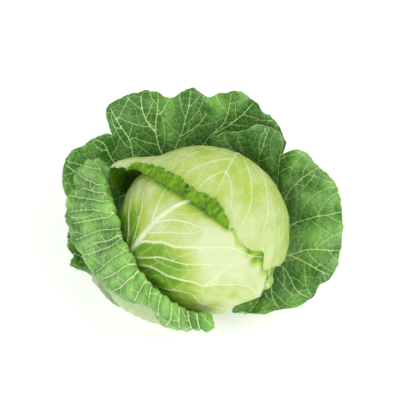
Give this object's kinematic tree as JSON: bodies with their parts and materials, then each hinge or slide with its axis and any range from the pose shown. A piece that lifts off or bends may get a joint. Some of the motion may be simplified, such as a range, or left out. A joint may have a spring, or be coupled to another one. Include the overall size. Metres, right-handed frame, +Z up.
{
  "type": "cabbage head",
  "caption": "Green cabbage head on its cut stem: a tight pale ball wrapped in head leaves, with loose dark outer leaves that curl and wave round it.",
  "frame": {"origin": "centre of the stem's cut face, which it stands on", "axes": "+Z up along the stem, towards the crown of the head; -Y is the front, where the large front head leaf faces"},
  "size_m": [0.2848, 0.2364, 0.1927],
  "materials": {
    "stem": "matt, pale, slightly moist cut",
    "head_leaf": "smooth satin leaf with a slight wax",
    "outer_leaf": "satin leaf with a dull waxy bloom"
  },
  "bodies": {
    "root": {"stem": "stem", "head": "head_leaf", "head_leaf_cap": "head_leaf", "head_leaf_front": "head_leaf", "outer_leaf_left": "outer_leaf", "outer_leaf_right": "outer_leaf", "outer_leaf_back": "outer_leaf", "outer_leaf_low": "outer_leaf"}
  },
  "joints": []
}
